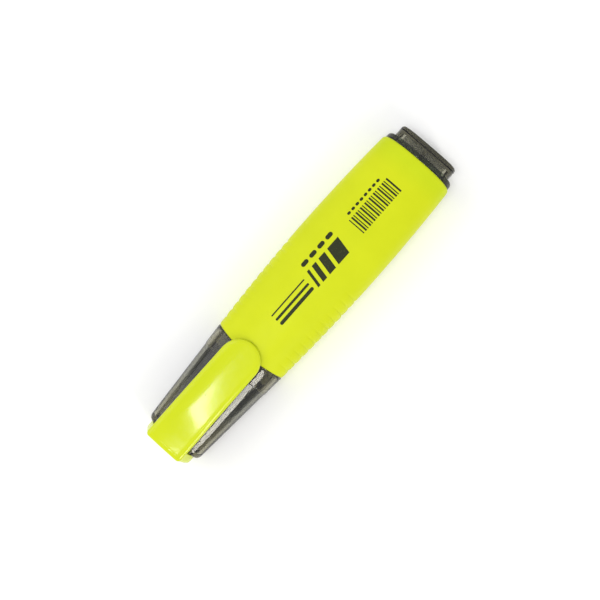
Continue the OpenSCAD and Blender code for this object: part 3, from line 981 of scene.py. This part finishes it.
PRINT_UP = 0.025  # how far the ink stands above the barrel, and how far it is sunk into it
PRINT_DOWN = 0.05
RULES = 3
RULE_X = (-9.5, 4.6)
BROAD_STROKES = ((5.6, 0.9), (7.7, 1.7), (10.6, 2.6), (14.4, 4.6))  # start and width of each
BROAD_Y = (-3.1, 2.4)
BROAD_SLANT = 1.2
RULE_Y = 1.5  # the first rule, the step down to the next, and their widths
RULE_PITCH = 1.75
RULE_WIDTH = 0.4
RULE_GROWTH = 0.32
DASH_Y = 4.5
BARS = 18
BAR_X = 25.8
BAR_PITCH = 0.94
BAR_WIDTHS = (0.32, 0.56)
BAR_Y = (-2.6, 3.1)


def patch(columns, rows=9):
    """A thin closed slab on the barrel's top. Each column is (x, low y, high y)."""
    verts, faces = [], []
    for lift in (PRINT_UP, -PRINT_DOWN):
        for x, y0, y1 in columns:
            for y in np.linspace(y0, y1, rows):
                verts.append((x, y, barrel_top(x, y) + lift))
    cols = len(columns)
    under = cols * rows
    for c in range(cols - 1):
        for r in range(rows - 1):
            a = c * rows + r
            b = a + rows
            faces.append((a, b, b + 1, a + 1))
            faces.append((under + a, under + a + 1, under + b + 1, under + b))
    border = [c * rows for c in range(cols)] + [(cols - 1) * rows + r for r in range(1, rows)]
    border += [c * rows + rows - 1 for c in range(cols - 2, -1, -1)] + [r for r in range(rows - 2, 0, -1)]
    for i, a in enumerate(border):
        b = border[(i + 1) % len(border)]
        faces.append((a, a + under, b + under, b))
    return verts, faces


def stroke(x0, x1, y, width):
    """A straight stroke with round ends."""
    radius = width / 2
    columns = []
    for q in np.linspace(0.12, math.pi / 2, 7):
        columns.append((x0 + radius * (1 - math.cos(q)), radius * math.sin(q)))
    straight = max(2, math.ceil(x1 - x0 - width))
    for x in np.linspace(x0 + radius, x1 - radius, straight + 1)[1:-1]:
        columns.append((x, radius))
    for q in np.linspace(math.pi / 2, 0.12, 7):
        columns.append((x1 - radius * (1 - math.cos(q)), radius * math.sin(q)))
    return patch([(x, y - h, y + h) for x, h in columns])


def chisel_stroke(x0, x1, y0, y1, slant):
    """A broad stroke whose ends lean, as a chisel nib leaves them."""
    verts, faces = patch([(x, y0, y1) for x in np.linspace(x0, x1, math.ceil(x1 - x0) + 1)])
    half = len(verts) // 2
    for i, (x, y, z) in enumerate(verts):
        x = x + slant * (y - y0) / (y1 - y0)
        verts[i] = (x, y, barrel_top(x, y) + (PRINT_UP if i < half else -PRINT_DOWN))
    return verts, faces


def dashes(start, pitch, length, width, count):
    """A row of short strokes along the pen."""
    return [stroke(start + pitch * k, start + length + pitch * k, DASH_Y, width) for k in range(count)]


def joined(shapes):
    """Several shapes as one list of vertices and one of faces."""
    verts, faces = [], []
    for shape_verts, shape_faces in shapes:
        base = len(verts)
        verts += shape_verts
        faces += [tuple(base + v for v in face) for face in shape_faces]
    return verts, faces


def build_print():
    """Plain marks: strokes from fine to broad with dashes over them, and an even row of bars."""
    strokes = []
    for k in range(RULES):
        strokes.append(stroke(*RULE_X, RULE_Y - RULE_PITCH * k, RULE_WIDTH + RULE_GROWTH * k))
    strokes += [chisel_stroke(x, x + width, *BROAD_Y, BROAD_SLANT) for x, width in BROAD_STROKES]
    strokes += dashes(start=7.0, pitch=3.5, length=2.6, width=1.3, count=4)
    bars = []
    for k in range(BARS):
        x = BAR_X + k * BAR_PITCH
        width = BAR_WIDTHS[k % 2]
        bars.append(patch([(x, *BAR_Y), (x + width, *BAR_Y)], rows=13))
    small = dashes(start=26.9, pitch=1.8, length=1.2, width=0.8, count=8)
    for name, shapes in (("print_strokes", strokes), ("print_bars", bars), ("print_dashes", small)):
        piece = make(name, joined(shapes), print_ink, sharp=60)
        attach(piece, "pen")


# ---------------------------------------------------------------- carried-over CAD nodes


def dress_cad_nodes():
    """The fibre bundle and its film keep their CAD shapes and get their own materials."""
    for node, material in (("ink_reservoir", fibre_bundle), ("reservoir_film", reservoir_wrap)):
        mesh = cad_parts[node].data
        mesh.materials.clear()
        mesh.materials.append(material)


# ---------------------------------------------------------------- floor, light and camera


FLOOR_HALF = 3.0
FLOOR_GLOW = 0.1
WORLD_LIGHT = 0.71
CLIP_SPOT = (-46.0, -1.5, 9.9)  # places on the pen, in mm, where the camera sees each soft box reflected
SIDE_SPOT = (-39, -7.3, 5.5)
STRIP_COLOUR = (1, 0.97, 0.88)


def build_floor():
    """A plain pale floor that glows faintly, so that it stays white under soft light."""
    mesh = bpy.data.meshes.new("floor")
    corners = [(x * FLOOR_HALF, y * FLOOR_HALF, 0) for x, y in ((-1, -1), (1, -1), (1, 1), (-1, 1))]
    mesh.from_pydata(corners, [], [(0, 1, 2, 3)])
    floor = bpy.data.objects.new("floor", mesh)
    bpy.context.scene.collection.objects.link(floor)
    material, nodes, links, shader = new_material("floor_white")
    pale = ramp(nodes, links, noise(nodes, links, scale=30, detail=2), 0.9, 0.92)
    links.new(pale, shader.inputs["Base Color"])
    shader.inputs["Roughness"].default_value = 0.9
    shader.inputs["Specular IOR Level"].default_value = 0.1
    shader.inputs["Emission Color"].default_value = (1, 1, 1, 1)
    shader.inputs["Emission Strength"].default_value = FLOOR_GLOW
    mesh.materials.append(material)


def add_area(name, location, target, size, size_y, power, spin=0.0):
    """A rectangular soft box facing target. Its first side lies along X, turned by spin degrees."""
    data = bpy.data.lights.new(name, "AREA")
    data.shape = "RECTANGLE"
    data.size = size
    data.size_y = size_y
    data.energy = power
    lamp = bpy.data.objects.new(name, data)
    lamp.location = location
    back = (Vector(location) - Vector(target)).normalized()
    side = (Vector((1, 0, 0)) - back * back.x).normalized()
    side = Matrix.Rotation(math.radians(spin), 3, back) @ side
    lamp.rotation_mode = "QUATERNION"
    lamp.rotation_quaternion = Matrix((side, back.cross(side), back)).transposed().to_quaternion()
    bpy.context.scene.collection.objects.link(lamp)
    return lamp


# How the camera stands over the pen: angles in degrees, lengths in millimetres.
VIEW_ROLL = 48.52
VIEW_TILT = 4.1
VIEW_SLEW = -1.6
VIEW_DISTANCE = 295.4
VIEW_HALF_WIDTH = 88.4
VIEW_OFFSET = (0.45, -0.89)
SENSOR = 36


def place_camera():
    """A long lens nearly straight above the pen, turned so that the pen lies across the picture."""
    data = bpy.data.cameras.new("camera")
    data.sensor_width = SENSOR
    data.lens = SENSOR / 2 * VIEW_DISTANCE / VIEW_HALF_WIDTH
    data.clip_start = 0.01
    camera = bpy.data.objects.new("camera", data)
    turn = (
        Matrix.Rotation(math.radians(VIEW_TILT), 4, "X")
        @ Matrix.Rotation(math.radians(VIEW_SLEW), 4, "Y")
        @ Matrix.Rotation(math.radians(-VIEW_ROLL), 4, "Z")
    )
    stand = turn @ Vector((VIEW_OFFSET[0], VIEW_OFFSET[1], VIEW_DISTANCE)) * MM
    camera.matrix_world = Matrix.Translation(stand + Vector((0, 0, AXIS_Z * MM))) @ turn
    bpy.context.scene.collection.objects.link(camera)
    bpy.context.scene.camera = camera


def mirror_light(name, point, tilt, lean, distance, size, size_y, power, spin=0.0):
    """A soft box reflected at point, where the surface leans by tilt towards -Y and by lean towards +X."""
    spot = Vector((point[0], point[1], point[2] + AXIS_Z)) * MM
    tilt, lean = math.radians(tilt), math.radians(lean)
    normal = Vector((math.sin(lean), -math.sin(tilt), math.cos(tilt))).normalized()
    view = (spot - bpy.context.scene.camera.matrix_world.translation).normalized()
    away = view - 2 * view.dot(normal) * normal
    return add_area(name, spot + away * distance, spot, size, size_y, power, spin)


def light_scene():
    """An even white room, two soft boxes seen as reflections, and a broad fill from the far side."""
    world = bpy.data.worlds.new("studio")
    world.use_nodes = True
    background = world.node_tree.nodes["Background"]
    background.inputs["Color"].default_value = (1, 1, 1, 1)
    background.inputs["Strength"].default_value = WORLD_LIGHT
    bpy.context.scene.world = world
    mirror_light(
        "clip_box", CLIP_SPOT, tilt=2.2, lean=-0.6, distance=0.6, size=0.07, size_y=0.2, power=0.8, spin=-9
    )
    strip = mirror_light(
        "side_box", SIDE_SPOT, tilt=26, lean=-3.7, distance=0.6, size=0.36, size_y=0.07, power=0.9, spin=71
    )
    strip.data.color = STRIP_COLOUR
    add_area("fill", (-0.15, 0.5, 0.45), target=(-0.03, 0, 0), size=0.6, size_y=0.5, power=1.05)
    bpy.context.scene.view_settings.view_transform = "Standard"


build_barrel()
build_nib_holder()
build_nib()
build_tail_plug()
build_cap_shell()
build_inner_cap()
build_clip()
build_print()
dress_cad_nodes()
build_floor()
place_camera()
light_scene()
